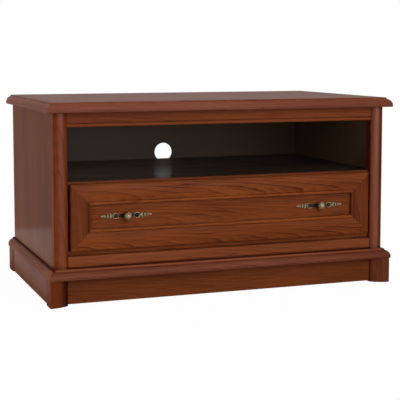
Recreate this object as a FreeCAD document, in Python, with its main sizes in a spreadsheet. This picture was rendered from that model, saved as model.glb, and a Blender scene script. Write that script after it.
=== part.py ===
import FreeCAD, Part
import math
import os
import Sketcher

# A free-standing television stand: a moulded top and base, an open media bay
# over one wide drawer on roller runners, and a plinth on four feet.
# Origin at the bottom centre, +X to the right, +Y to the back, +Z up, millimetres.

doc = FreeCAD.newDocument("tv_stand")
sheet = doc.addObject("Spreadsheet::Sheet", "Sizes")

SIZES = {
    # Whole stand
    "overall_width": "1040",
    "overall_depth": "606",
    "overall_height": "555",
    # Top and base boards with their edge mouldings
    "edge_board_thickness": "28",
    "moulding_width": "14",
    "quirk_depth": "4",
    "board_round": "2.5",
    "ovolo_radius": "19",
    "ovolo_height": "17",
    "nose_round": "2.5",
    # Carcass
    "moulding_overhang": "20",
    "plinth_height": "73",
    "side_thickness": "18",
    "post_width": "39",
    "post_inset": "27.5",
    "post_crown": "10.5",
    "post_depth": "25.5",
    "back_thickness": "3",
    "back_inset": "2",
    "back_recess": "0.8",
    "frieze_height": "39.5",
    "frieze_inset": "28",
    "frieze_thickness": "18",
    "bead_width": "8.5",
    "bead_radius": "5.4",
    "groove_width": "3",
    "groove_depth": "2",
    "lower_rail_height": "33",
    "lower_rail_inset": "28",
    "rail_round": "3",
    "rail_low_round": "7",
    "shelf_thickness": "16",
    "shelf_inset": "41",
    "shelf_reveal": "4.5",
    "bottom_board_thickness": "16",
    "bottom_board_lift": "29",
    "outlet_diameter": "60",
    "outlet_lift": "21.5",
    # Plinth
    "foot_width": "54",
    "foot_inset": "3",
    "foot_depth": "50",
    "rear_foot_depth": "55",
    "foot_corner_radius": "13",
    "foot_crown_radius": "78",
    "plinth_board_thickness": "16",
    "plinth_floor_gap": "3",
    "plinth_front_inset": "30",
    "plinth_side_recess": "2",
    "plinth_rear_inset": "6",
    "corner_block_leg": "40",
    "corner_block_height": "50",
    # Drawer front
    "drawer_front_height": "184.5",
    "drawer_front_thickness": "20",
    "drawer_front_inset": "20",
    "front_side_gap": "5.5",
    "front_bottom_gap": "1.5",
    "frame_width": "58.5",
    "frame_edge_thickness": "12.5",
    "frame_edge_round": "6.5",
    "frame_shoulder": "18.5",
    "frame_crown_radius": "110",
    "frame_quirk": "2",
    "frame_bead_width": "8",
    "frame_bead_radius": "5.2",
    "front_panel_thickness": "8",
    "rebate_width": "8",
    "rebate_clearance": "0.3",
    # Drawer box
    "drawer_side_height": "118",
    "drawer_side_thickness": "16",
    "drawer_end_thickness": "12",
    "drawer_box_lift": "14.5",
    "drawer_bottom_thickness": "3",
    "drawer_bottom_lift": "8",
    "bottom_groove_depth": "6",
    "bottom_groove_clearance": "0.4",
    # Roller runners
    "runner_space": "13",
    "batten_proud": "1",
    "runner_length": "500",
    "runner_gauge": "1.2",
    "runner_flange": "10.6",
    "running_flange": "9.4",
    "runner_top_gap": "0.8",
    "underside_flange": "15",
    "roller_radius": "11",
    "roller_width": "7",
    "roller_gap": "0.5",
    "roller_side_gap": "1.8",
    "roller_setback": "12",
    "pin_radius": "2.5",
    "pin_clearance": "0.05",
    "pin_collar_radius": "4",
    "pin_head_thickness": "0.9",
    "pin_play": "0.2",
    "batten_height": "44",
    # Handles
    "handle_end_distance": "160.5",
    "plate_half_length": "74",
    "plate_thickness": "2.6",
    "plate_boss_radius": "9.5",
    "plate_neck_half": "3",
    "plate_ring_offset": "31",
    "plate_ring_radius": "9.3",
    "plate_ring_hole": "5",
    "plate_ring_joint": "3.8",
    "plate_leaf_end": "66",
    "plate_leaf_half": "1.6",
    "plate_leaf_radius": "16",
    "plate_tip_radius": "6",
    "knob_projection": "23",
    "knob_radius": "11.5",
    "knob_base_radius": "7",
    "knob_stem_radius": "4.2",
    "knob_base_height": "4",
    "knob_neck_height": "11",
    "knob_rim_height": "18",
    "knob_crest_radius": "8",
    # Fasteners
    "dowel_radius": "4",
    "dowel_length": "30",
    "dowel_end_distance": "55",
    "post_dowel_distance": "60",
    "shelf_dowel_distance": "70",
    "cam_radius": "7.5",
    "cam_depth": "12.5",
    "cam_distance": "34",
    "cam_end_distance": "130",
    "bolt_radius": "3",
    "bolt_bite": "11",
    "box_screw_radius": "2.5",
    "box_screw_length": "40",
    "box_screw_head_radius": "4",
    "box_screw_head_height": "3",
    "box_screw_low_distance": "40",
    "box_screw_high_distance": "25",
    "handle_screw_radius": "2",
    "handle_screw_head_radius": "3.5",
    "handle_screw_head_height": "1.5",
    "handle_screw_bite": "10",
    "cut_margin": "5",
}

for row, (alias, number) in enumerate(SIZES.items(), start=1):
    sheet.set("A%d" % row, alias)
    sheet.set("B%d" % row, number)
    sheet.setAlias("B%d" % row, alias)
doc.recompute()


class Size:
    """A length together with the sheet formula that gives it."""

    def __init__(self, value, formula):
        self.value = float(value)
        self.formula = formula

    def __add__(self, other):
        other = as_size(other)
        return Size(self.value + other.value, "(%s + %s)" % (self.formula, other.formula))

    def __sub__(self, other):
        other = as_size(other)
        return Size(self.value - other.value, "(%s - %s)" % (self.formula, other.formula))

    def __mul__(self, other):
        other = as_size(other)
        return Size(self.value * other.value, "(%s * %s)" % (self.formula, other.formula))

    def __truediv__(self, other):
        other = as_size(other)
        return Size(self.value / other.value, "(%s / %s)" % (self.formula, other.formula))

    def __rsub__(self, other):
        return as_size(other) - self

    def __neg__(self):
        return self * -1

    __radd__ = __add__
    __rmul__ = __mul__


def as_size(thing):
    return thing if isinstance(thing, Size) else Size(thing, repr(float(thing)))


def root(size):
    return Size(math.sqrt(size.value), "sqrt(%s)" % size.formula)


def cell(alias):
    return Size(sheet.get(alias), "Sizes." + alias)


def bind(thing, prop, size):
    thing.setExpression(prop, as_size(size).formula)


def ordered(a, b):
    a, b = as_size(a), as_size(b)
    return (a, b) if a.value < b.value else (b, a)


nodes = {}


def keep(label, thing):
    thing.Label = label
    nodes[label] = thing
    return thing


def board(name, x, y, z):
    box = doc.addObject("Part::Box", name)
    for prop, axis, ends in (("Length", "x", x), ("Width", "y", y), ("Height", "z", z)):
        low, high = ordered(*ends)
        bind(box, prop, high - low)
        bind(box, "Placement.Base." + axis, low)
    return box


ROUND = 0
SCREW_SIDES = 6
DOWEL_SIDES = 6
BOLT_SIDES = 6
CAM_SIDES = 12
PIN_SIDES = 12
KNOB_SIDES = 24
CLOSE = 0.01
DIRECTIONS = {
    "+x": FreeCAD.Vector(1, 0, 0),
    "-x": FreeCAD.Vector(-1, 0, 0),
    "+y": FreeCAD.Vector(0, 1, 0),
    "-y": FreeCAD.Vector(0, -1, 0),
    "+z": FreeCAD.Vector(0, 0, 1),
    "-z": FreeCAD.Vector(0, 0, -1),
}


def rod(name, at, direction, sides, radius, length):
    """A round or many-sided bar that starts at a point and runs along one axis."""
    bar = doc.addObject("Part::Cylinder" if sides == ROUND else "Part::Prism", name)
    if sides != ROUND:
        bar.Polygon = sides
    turn = FreeCAD.Rotation(DIRECTIONS["+z"], DIRECTIONS[direction])
    bar.Placement = FreeCAD.Placement(FreeCAD.Vector(), turn)
    bind(bar, "Radius" if sides == ROUND else "Circumradius", radius)
    bind(bar, "Height", length)
    for axis, place in zip("xyz", at):
        bind(bar, "Placement.Base." + axis, place)
    return bar


def stepped_bar(name, at, direction, steps):
    """Bars fused on one axis. A step is its number of sides, its radius and the two
    distances along the axis between which it runs."""
    fuse = doc.addObject("Part::MultiFuse", name)
    bars = []
    for i, (sides, radius, start, end) in enumerate(steps):
        way = DIRECTIONS[direction]
        place = [at[n] + start * way[n] for n in range(3)]
        bars.append(rod("%s_step_%d" % (name, i), place, direction, sides, radius, end - start))
    fuse.Shapes = bars
    return fuse


def headed(name, at, direction, shank, head):
    """A screw: its head starts at a point, its shank runs on from the head."""
    steps = [(SCREW_SIDES, head[0], as_size(0), head[1])]
    steps.append((SCREW_SIDES, shank[0], as_size(0), shank[1] + head[1]))
    return stepped_bar(name, at, direction, steps)


def group(name, members):
    bundle = doc.addObject("Part::Compound", name)
    bundle.Links = members
    return bundle


def cut(name, base, *tools):
    result = doc.addObject("Part::Cut", name)
    result.Base = base
    result.Tool = tools[0] if len(tools) == 1 else group(name + "_tools", list(tools))
    return result


def draw(sketch, corners):
    """One closed outline. A corner is (x, y), or (x, y, radius, turn) when the edge
    that leaves it is an arc; turn is 1 for an arc walked counter-clockwise."""
    first = sketch.GeometryCount
    points = [FreeCAD.Vector(c[0].value, c[1].value, 0) for c in corners]
    ends = []
    for i, corner in enumerate(corners):
        start, end = points[i], points[(i + 1) % len(points)]
        if len(corner) == 2:
            sketch.addGeometry(Part.LineSegment(start, end), False)
            ends.append((1, 2))
            continue
        radius, turn = corner[2].value, corner[3]
        chord = end - start
        rise = math.sqrt(max(radius ** 2 - chord.Length ** 2 / 4, 0))
        left = FreeCAD.Vector(-chord.y, chord.x, 0) / chord.Length
        centre = (start + end) / 2 + left * rise * turn
        arms = (start - centre, end - centre) if turn > 0 else (end - centre, start - centre)
        angles = [math.atan2(arm.y, arm.x) for arm in arms]
        if angles[1] <= angles[0]:
            angles[1] += 2 * math.pi
        circle = Part.Circle(centre, DIRECTIONS["+z"], radius)
        sketch.addGeometry(Part.ArcOfCircle(circle, *angles), False)
        ends.append((1, 2) if turn > 0 else (2, 1))
    for i, corner in enumerate(corners):
        following = (i + 1) % len(corners)
        join = Sketcher.Constraint(
            "Coincident", first + i, ends[i][1], first + following, ends[following][0]
        )
        sketch.addConstraint(join)
        for kind, place in (("DistanceX", corner[0]), ("DistanceY", corner[1])):
            fix(sketch, place, kind, -1, 1, first + i, ends[i][0])
        if len(corner) > 2:
            fix(sketch, corner[2], "Radius", first + i)


def fix(sketch, size, kind, *where):
    index = sketch.addConstraint(Sketcher.Constraint(kind, *where, size.value))
    bind(sketch, "Constraints[%d]" % index, size)


def ring(sketch, x, y, radius):
    circle = Part.Circle(FreeCAD.Vector(x.value, y.value, 0), DIRECTIONS["+z"], radius.value)
    index = sketch.addGeometry(circle, False)
    fix(sketch, x, "DistanceX", -1, 1, index, 3)
    fix(sketch, y, "DistanceY", -1, 1, index, 3)
    fix(sketch, radius, "Radius", index)


def sketch_on(body, role, start):
    plane = [thing for thing in body.Origin.OriginFeatures if thing.Role == role][0]
    sketch = body.newObject("Sketcher::SketchObject", body.Name + "_outline")
    sketch.AttachmentSupport = [(plane, "")]
    sketch.MapMode = "FlatFace"
    bind(sketch, "AttachmentOffset.Base.z", start)
    return sketch


def padded(name, role, corners, start, length, holes=()):
    """An outline pushed along the normal of its plane: +Z, -Y or +X."""
    body = doc.addObject("PartDesign::Body", name)
    sketch = sketch_on(body, role, start)
    draw(sketch, corners)
    for hole in holes:
        ring(sketch, *hole)
    pad = body.newObject("PartDesign::Pad", name + "_pad")
    pad.Profile = sketch
    bind(pad, "Length", length)
    return body


def pocketed(body, role, outlines, start, length):
    """Outlines cut out against the normal of their plane: -Z, +Y or -X."""
    sketch = sketch_on(body, role, start)
    for corners in outlines:
        draw(sketch, corners)
    pocket = body.newObject("PartDesign::Pocket", body.Name + "_pocket")
    pocket.Profile = sketch
    bind(pocket, "Length", length)
    return body


def revolved(name, corners, at):
    """An outline turned a full circle about the X axis of its body."""
    body = doc.addObject("PartDesign::Body", name)
    sketch = sketch_on(body, "XY_Plane", as_size(0))
    draw(sketch, corners)
    turned = body.newObject("PartDesign::Revolution", name + "_turned")
    turned.Profile = sketch
    turned.ReferenceAxis = (sketch, ["H_Axis"])
    turned.Angle = 360
    for letter, place in at.items():
        bind(body, "Placement.Base." + letter, place)
    return body


SIDES = (("left", -1), ("right", 1))

# Shared places. Front and rear are the outermost faces of the mouldings.
half = cell("overall_width") / 2
rear = cell("overall_depth") / 2
front = -rear
top_face = cell("overall_height")
top_under = top_face - cell("edge_board_thickness")
base_under = cell("plinth_height")
base_face = base_under + cell("edge_board_thickness")
side_outer = half - cell("moulding_overhang")
side_inner = side_outer - cell("side_thickness")
side_middle = side_outer - cell("side_thickness") / 2
post_inner = side_outer - cell("post_width")
post_face = front + cell("post_inset")
post_back = post_face + cell("post_depth")
back_rear = rear - cell("back_recess")
back_front = back_rear - cell("back_thickness")
shelf_front = front + cell("shelf_inset")

rail_top = base_face + cell("lower_rail_height")
bottom_under = base_face + cell("bottom_board_lift")
bottom_top = bottom_under + cell("bottom_board_thickness")
front_low = bottom_top + cell("front_bottom_gap")
front_high = front_low + cell("drawer_front_height")
shelf_top = front_high + cell("shelf_reveal")
shelf_under = shelf_top - cell("shelf_thickness")
frieze_under = top_under - cell("frieze_height")

front_half = post_inner - cell("front_side_gap")
front_face = front + cell("drawer_front_inset")
front_back = front_face + cell("drawer_front_thickness")
panel_face = front_back - cell("front_panel_thickness")
frame = cell("frame_width")
front_middle = (front_low + front_high) / 2

batten_face = post_inner - cell("batten_proud")
box_half = batten_face - cell("runner_space")
box_low = front_low + cell("drawer_box_lift")
box_high = box_low + cell("drawer_side_height")
box_rear = front_back + cell("runner_length")
box_inner = box_half - cell("drawer_side_thickness")
end_front = front_back + cell("drawer_end_thickness")
end_rear = box_rear - cell("drawer_end_thickness")

gauge = cell("runner_gauge")
drawer_web = box_half + gauge
cabinet_web = batten_face - gauge
wheel = cell("roller_radius")
running_top = box_low - gauge + wheel * 2 - cell("roller_gap") * 2
running_under = running_top - gauge
roller_axis = running_under - cell("roller_gap") - wheel
track_top = roller_axis - wheel - cell("roller_gap")
track_under = track_top - gauge
lip_under = running_top + cell("runner_top_gap")
lip_top = lip_under + gauge
front_roller_y = post_back + cell("roller_setback")
rear_roller_y = box_rear - cell("roller_setback")

# Fasteners come first: the boards are drilled with them, so every hole fits its fastener.
dowels = []
dowel = (DOWEL_SIDES, cell("dowel_radius"), cell("dowel_length"))
into = cell("dowel_length") / 2
end_gap = cell("dowel_end_distance")
post_gap = cell("post_dowel_distance")
shelf_middle = (shelf_under + shelf_top) / 2
bottom_middle = (bottom_under + bottom_top) / 2
shelf_places = (post_back + cell("shelf_dowel_distance"), back_front - cell("shelf_dowel_distance"))
for side, sign in SIDES:
    middle = sign * side_middle
    for i, y in enumerate((post_back + end_gap, back_front - end_gap)):
        dowels.append(rod("dowel_top_%s_%d" % (side, i), (middle, y, top_under - into), "+z", *dowel))
        dowels.append(rod("dowel_base_%s_%d" % (side, i), (middle, y, base_face - into), "+z", *dowel))
    for i, z in enumerate((base_face + post_gap, top_under - post_gap)):
        dowels.append(rod("dowel_post_%s_%d" % (side, i), (middle, post_back - into, z), "+y", *dowel))
    outward = "+x" if sign > 0 else "-x"
    crossings = {
        "shelf_front": (side_inner, shelf_places[0], shelf_middle),
        "shelf_rear": (side_inner, shelf_places[1], shelf_middle),
        "bottom_front": (side_inner, shelf_places[0], bottom_middle),
        "bottom_rear": (side_inner, shelf_places[1], bottom_middle),
        "frieze": (
            post_inner,
            front + cell("frieze_inset") + cell("frieze_thickness") / 2,
            top_under - cell("frieze_height") / 2,
        ),
        "lower_rail": (
            post_inner,
            (front + cell("lower_rail_inset") + shelf_front) / 2,
            base_face + cell("lower_rail_height") / 2,
        ),
    }
    for place, (x, y, z) in crossings.items():
        name = "dowel_%s_%s" % (place, side)
        dowels.append(rod(name, (sign * (x - into), y, z), outward, *dowel))
keep("wooden_dowels", group("wooden_dowels", dowels))

cams = []
bolts = []
reach = cell("cam_distance") + cell("bolt_radius")
cam = (CAM_SIDES, cell("cam_radius"), cell("cam_depth"))
bolt = (BOLT_SIDES, cell("bolt_radius"), reach + cell("bolt_bite"))
decks = (("shelf", shelf_under, shelf_middle), ("bottom", bottom_under, bottom_middle))
for side, sign in SIDES:
    outward = "+x" if sign > 0 else "-x"
    for i, y in enumerate((post_back + cell("cam_end_distance"), back_front - cell("cam_end_distance"))):
        tag = "%s_%d" % (side, i)
        for deck, under, middle in decks:
            at = (sign * (side_inner - cell("cam_distance")), y, under)
            cams.append(rod("cam_%s_%s" % (deck, tag), at, "+z", *cam))
            at = (sign * (side_inner - reach), y, middle)
            bolts.append(rod("bolt_%s_%s" % (deck, tag), at, outward, *bolt))
        at = (sign * side_inner, y, top_under - cell("cam_distance"))
        cams.append(rod("cam_top_" + tag, at, outward, *cam))
        at = (sign * side_middle, y, top_under - reach)
        bolts.append(rod("bolt_top_" + tag, at, "+z", *bolt))
cam_bolts = keep("cam_bolts", group("cam_bolts", bolts))
cam_blanks = group("cam_blanks", cams)
keep("cam_discs", cut("cam_discs", cam_blanks, cam_bolts))
joints = (nodes["wooden_dowels"], cam_bolts, cam_blanks)


def edge_outline(sign, nose, low):
    """Section of an edge moulding; the nose faces away from the board."""
    turn = int(sign)
    high = low + cell("edge_board_thickness")
    seat = nose - sign * cell("moulding_width")
    lip = cell("nose_round")
    ledge = high - cell("quirk_depth")
    return [
        (seat, low),
        (nose - sign * lip, low, lip, turn),
        (nose, low + lip),
        (nose, ledge - cell("ovolo_height"), cell("ovolo_radius"), turn),
        (seat, ledge),
    ]


def mitre(x, y, x_way, y_way, reach):
    """A triangle that trims one end at 45 degrees through the corner (x, y)."""
    margin = cell("cut_margin")
    near = (x - x_way * margin, y - y_way * margin)
    far = (x + x_way * (reach + margin), y + y_way * (reach + margin))
    return [near, far, (near[0], far[1])]


def edge_board(label, low):
    """A thick board with mouldings glued to its front and side edges."""
    width = cell("moulding_width")
    thickness = cell("edge_board_thickness")
    seat = half - width
    seat_front = front + width
    high = low + thickness
    corners = [(-seat, seat_front), (seat, seat_front), (seat, rear), (-seat, rear)]
    body = padded(label + "_body", "XY_Plane", corners, low, thickness)
    doc.recompute()
    pad = body.Tip
    rounded = []
    for i, edge in enumerate(pad.Shape.Edges, start=1):
        box = edge.BoundBox
        on_top = box.ZMin > high.value - CLOSE
        at_rear = box.YMin > rear.value - CLOSE
        if on_top and not at_rear:
            rounded.append("Edge%d" % i)
    fillet = body.newObject("PartDesign::Fillet", label + "_round")
    fillet.Base = (pad, rounded)
    bind(fillet, "Radius", cell("board_round"))
    keep(label + "_panel", cut(label + "_panel", body, nodes["wooden_dowels"], cam_bolts))

    above = high + cell("cut_margin")
    through = thickness + cell("cut_margin") * 2
    strip = padded(label + "_front_moulding", "YZ_Plane", edge_outline(-1, front, low), -half, half * 2)
    ends = [mitre(sign * half, front, -sign, 1, width) for side, sign in SIDES]
    keep(label + "_front_moulding", pocketed(strip, "XY_Plane", ends, above, through))
    for side, sign in SIDES:
        name = "%s_%s_moulding" % (label, side)
        strip = padded(name, "XZ_Plane", edge_outline(sign, sign * half, low), -rear, rear * 2)
        margin = cell("cut_margin")
        corner = [
            (sign * (half + margin), front - margin),
            (sign * (half + margin), front - margin * 3),
            (sign * (half - width - margin * 3), front - margin * 3),
            (sign * (half - width - margin * 3), front + width + margin * 3),
        ]
        keep(name, pocketed(strip, "XY_Plane", [corner], above, through))


edge_board("top", top_under)
edge_board("base", base_under)

# Carcass between the two edge boards.
body_height = top_under - base_face
crown = cell("post_crown")
chord = cell("post_width") / 2
post_radius = (chord * chord + crown * crown) / (crown * 2)
for side, sign in SIDES:
    name = side + "_side_panel"
    span = (sign * side_inner, sign * side_outer)
    blank = board(name + "_blank", span, (post_back, back_front), (base_face, top_under))
    keep(name, cut(name, blank, *joints))
    inner, outer = ordered(sign * post_inner, sign * side_outer)
    section = [
        (inner, post_back),
        (inner, post_face, post_radius, 1),
        (outer, post_face),
        (outer, post_back),
    ]
    name = side + "_corner_post"
    blank = padded(name + "_blank", "XY_Plane", section, base_face, body_height)
    keep(name, cut(name, blank, nodes["wooden_dowels"]))

face = front + cell("frieze_inset")
hollow = face + cell("groove_depth")
bead_top = frieze_under + cell("bead_width")
groove_top = bead_top + cell("groove_width")
section = [
    (face, top_under),
    (face, groove_top),
    (hollow, groove_top),
    (hollow, bead_top, cell("bead_radius"), 1),
    (hollow, frieze_under),
    (face + cell("frieze_thickness"), frieze_under),
    (face + cell("frieze_thickness"), top_under),
]
blank = padded("frieze_blank", "YZ_Plane", section, -post_inner, post_inner * 2)
keep("frieze_rail", cut("frieze_rail", blank, nodes["wooden_dowels"]))

face = front + cell("lower_rail_inset")
soft = cell("rail_round")
low_soft = cell("rail_low_round")
section = [
    (shelf_front, base_face),
    (face + low_soft, base_face, low_soft, -1),
    (face, base_face + low_soft),
    (face, rail_top - soft, soft, -1),
    (face + soft, rail_top),
    (shelf_front, rail_top),
]
blank = padded("lower_rail_blank", "YZ_Plane", section, -post_inner, post_inner * 2)
keep("lower_rail", cut("lower_rail", blank, nodes["wooden_dowels"]))

shelf = board("shelf_blank", (-side_inner, side_inner), (post_back, back_front), (shelf_under, shelf_top))
keep("media_shelf", cut("media_shelf", shelf, *joints))
span = (-post_inner, post_inner)
keep("shelf_edge_strip", board("shelf_edge_strip", span, (shelf_front, post_back), (shelf_under, shelf_top)))

notched = [
    (-post_inner, shelf_front),
    (post_inner, shelf_front),
    (post_inner, post_back),
    (side_inner, post_back),
    (side_inner, back_front),
    (-side_inner, back_front),
    (-side_inner, post_back),
    (-post_inner, post_back),
]
blank = padded("bottom_board_blank", "XY_Plane", notched, bottom_under, cell("bottom_board_thickness"))
keep("bottom_board", cut("bottom_board", blank, *joints))

back_half = side_outer - cell("back_inset")
sheet_outline = [
    (-back_half, base_face),
    (back_half, base_face),
    (back_half, top_under),
    (-back_half, top_under),
]
outlet = (as_size(0), shelf_top + cell("outlet_lift"), cell("outlet_diameter") / 2)
thickness = cell("back_thickness")
keep("back_panel", padded("back_panel", "XZ_Plane", sheet_outline, -back_rear, thickness, [outlet]))

# Plinth: four feet with boards set between them.
foot_outer = half - cell("foot_inset")
foot_inner = foot_outer - cell("foot_width")
foot_front = front + cell("foot_inset")
foot_back = foot_front + cell("foot_depth")
rear_foot_front = rear - cell("rear_foot_depth")
tight = cell("foot_corner_radius")
wide = cell("foot_crown_radius")
run = cell("foot_width") - tight
fall = root((wide - tight) * (wide - tight) - run * run)
swell_start = foot_front + wide - fall
swell_x = foot_outer - run * wide / (wide - tight)
swell_y = foot_front + wide - fall * wide / (wide - tight)
for side, sign in SIDES:
    section = [
        (sign * foot_inner, foot_back),
        (sign * foot_inner, swell_start, tight, sign),
        (sign * swell_x, swell_y, wide, sign),
        (sign * foot_outer, foot_front),
        (sign * foot_outer, foot_back),
    ]
    name = "front_%s_foot" % side
    keep(name, padded(name, "XY_Plane", section, as_size(0), base_under))
    name = "rear_%s_foot" % side
    span = (sign * foot_inner, sign * foot_outer)
    keep(name, board(name, span, (rear_foot_front, rear), (as_size(0), base_under)))

plinth_heights = (cell("plinth_floor_gap"), base_under)
plinth_board = cell("plinth_board_thickness")
face = front + cell("plinth_front_inset")
span = (-foot_inner, foot_inner)
keep("plinth_front_board", board("plinth_front_board", span, (face, face + plinth_board), plinth_heights))
face = rear - cell("plinth_rear_inset")
keep("plinth_rear_board", board("plinth_rear_board", span, (face - plinth_board, face), plinth_heights))
plinth_outer = foot_outer - cell("plinth_side_recess")
plinth_inner = plinth_outer - plinth_board
blocks = []
leg = cell("corner_block_leg")
block_low = base_under - cell("corner_block_height")
for side, sign in SIDES:
    name = "plinth_%s_board" % side
    span = (sign * plinth_inner, sign * plinth_outer)
    keep(name, board(name, span, (foot_back, rear_foot_front), plinth_heights))
    for place, y, way in (("front", foot_back, 1), ("rear", rear_foot_front, -1)):
        wedge = [
            (sign * plinth_inner, y),
            (sign * plinth_inner, y + way * leg),
            (sign * (plinth_inner - leg), y),
        ]
        name = "block_%s_%s" % (place, side)
        blocks.append(padded(name, "XY_Plane", wedge, block_low, cell("corner_block_height")))
keep("plinth_corner_blocks", group("plinth_corner_blocks", blocks))

# Roller runners: a channel on each cabinet side, a stepped rail under each drawer side.
runner_rear = post_back + cell("runner_length")
cabinet_pins = []
drawer_pins = []
pin = cell("pin_radius")
collar = cell("pin_collar_radius")
bore = pin + cell("pin_clearance")
play = cell("pin_play")
roller_in = drawer_web + cell("roller_side_gap")
roller_out = roller_in + cell("roller_width")
for side, sign in SIDES:
    name = side + "_runner_batten"
    low = bottom_top
    span = (sign * batten_face, sign * side_inner)
    keep(name, board(name, span, (post_back, runner_rear), (low, low + cell("batten_height"))))

    tip = batten_face - cell("runner_flange")
    channel = [
        (sign * batten_face, track_under),
        (sign * batten_face, lip_top),
        (sign * tip, lip_top),
        (sign * tip, lip_under),
        (sign * cabinet_web, lip_under),
        (sign * cabinet_web, track_top),
        (sign * tip, track_top),
        (sign * tip, track_under),
    ]
    name = side + "_cabinet_runner"
    keep(name, padded(name, "XZ_Plane", channel, -runner_rear, cell("runner_length")))

    reach = box_half - cell("underside_flange")
    stepped = [
        (sign * reach, box_low - gauge),
        (sign * drawer_web, box_low - gauge),
        (sign * drawer_web, running_under),
        (sign * (drawer_web + cell("running_flange")), running_under),
        (sign * (drawer_web + cell("running_flange")), running_top),
        (sign * box_half, running_top),
        (sign * box_half, box_low),
        (sign * reach, box_low),
    ]
    name = side + "_drawer_runner"
    keep(name, padded(name, "XZ_Plane", stepped, -box_rear, cell("runner_length")))

    for place, y in (("front", front_roller_y), ("rear", rear_roller_y)):
        section = [
            (sign * roller_in, bore),
            (sign * roller_in, wheel),
            (sign * roller_out, wheel),
            (sign * roller_out, bore),
        ]
        name = "%s_%s_roller" % (place, side)
        keep(name, revolved(name, section, {"y": y, "z": roller_axis}))

    for place, y, foot, way in (
        ("front", front_roller_y, cabinet_web, -sign),
        ("rear", rear_roller_y, drawer_web, sign),
    ):
        wheel_near, wheel_far = (roller_in, roller_out) if way == sign else (-roller_out, -roller_in)
        root_face = foot if way == sign else -foot
        collar_end = wheel_near - root_face - play
        head_start = wheel_far - root_face + play
        steps = [
            (PIN_SIDES, collar, as_size(0), collar_end),
            (ROUND, pin, as_size(0), head_start),
            (PIN_SIDES, collar, head_start, head_start + cell("pin_head_thickness")),
        ]
        direction = "+x" if way > 0 else "-x"
        made = stepped_bar("%s_%s_pin" % (place, side), (sign * foot, y, roller_axis), direction, steps)
        (cabinet_pins if place == "front" else drawer_pins).append(made)
keep("cabinet_roller_pins", group("cabinet_roller_pins", cabinet_pins))
keep("drawer_roller_pins", group("drawer_roller_pins", drawer_pins))

# Drawer box and its screws.
box_screws = []
screw = (cell("box_screw_radius"), cell("box_screw_length"))
sunk = (cell("box_screw_head_radius"), cell("box_screw_head_height"))
screw_heights = (box_low + cell("box_screw_low_distance"), box_high - cell("box_screw_high_distance"))
for side, sign in SIDES:
    inward = "-x" if sign > 0 else "+x"
    for end, y in (("front", (front_back + end_front) / 2), ("rear", (end_rear + box_rear) / 2)):
        for i, z in enumerate(screw_heights):
            name = "box_screw_%s_%s_%d" % (side, end, i)
            box_screws.append(headed(name, (sign * box_half, y, z), inward, screw, sunk))
keep("drawer_box_screws", group("drawer_box_screws", box_screws))

plate_face = panel_face - cell("plate_thickness")
handle_screws = []
handle_x = front_half - cell("handle_end_distance")
grip = (cell("handle_screw_radius"), end_front - plate_face + cell("handle_screw_bite"))
head = (cell("handle_screw_head_radius"), cell("handle_screw_head_height"))
for side, sign in SIDES:
    at = (sign * handle_x, end_front + head[1], front_middle)
    handle_screws.append(headed("handle_screw_" + side, at, "-y", grip, head))
keep("handle_screws", group("handle_screws", handle_screws))

slot_low = box_low + cell("drawer_bottom_lift")
slot_high = slot_low + cell("drawer_bottom_thickness")
slot_half = box_inner + cell("bottom_groove_depth")
slot_front = end_front - cell("bottom_groove_depth")
sheet_half = slot_half - cell("bottom_groove_clearance")
sheet_front = slot_front + cell("bottom_groove_clearance")
heights = (box_low, box_high)
margin = cell("cut_margin")
slot = board(
    "drawer_bottom_slot", (-slot_half, slot_half), (slot_front, box_rear + margin), (slot_low, slot_high)
)
for side, sign in SIDES:
    name = "drawer_%s_side" % side
    blank = board(name + "_blank", (sign * box_inner, sign * box_half), (front_back, box_rear), heights)
    keep(name, cut(name, blank, slot, nodes["drawer_box_screws"]))
blank = board("drawer_inner_front_blank", (-box_inner, box_inner), (front_back, end_front), heights)
tools = (slot, nodes["drawer_box_screws"], nodes["handle_screws"])
keep("drawer_inner_front", cut("drawer_inner_front", blank, *tools))
blank = board("drawer_back_blank", (-box_inner, box_inner), (end_rear, box_rear), (slot_high, box_high))
keep("drawer_back", cut("drawer_back", blank, nodes["drawer_box_screws"]))
span = (-sheet_half, sheet_half)
keep("drawer_bottom", board("drawer_bottom", span, (sheet_front, box_rear), (slot_low, slot_high)))


# Drawer front: four mitred members with a crowned face and a bead, around a set-in panel.
def member_section(upright, outer, way):
    """Section of a frame member. The first value of a point runs from the outer edge
    inwards, the second from the back face forwards."""
    rim = cell("frame_edge_thickness")
    swell = cell("frame_edge_round")
    shoulder = cell("frame_shoulder")
    bead_start = frame - cell("frame_bead_width")
    crown_end = bead_start - cell("frame_quirk")
    bed = cell("front_panel_thickness")
    low_bead = shoulder - cell("frame_quirk")
    run = [
        (as_size(0), as_size(0)),
        (as_size(0), rim, swell, -1),
        (shoulder - rim, shoulder, cell("frame_crown_radius"), -1),
        (crown_end, shoulder),
        (bead_start, low_bead, cell("frame_bead_radius"), -1),
        (frame, low_bead),
        (frame, bed),
        (frame - cell("rebate_width"), bed),
        (frame - cell("rebate_width"), as_size(0)),
    ]
    corners = []
    for point in run:
        across, y = outer + way * point[0], front_back - point[1]
        corner = (across, y) if upright else (y, across)
        if len(point) > 2:
            corner += (point[2], point[3] * way * (-1 if upright else 1))
        corners.append(corner)
    return corners


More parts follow.
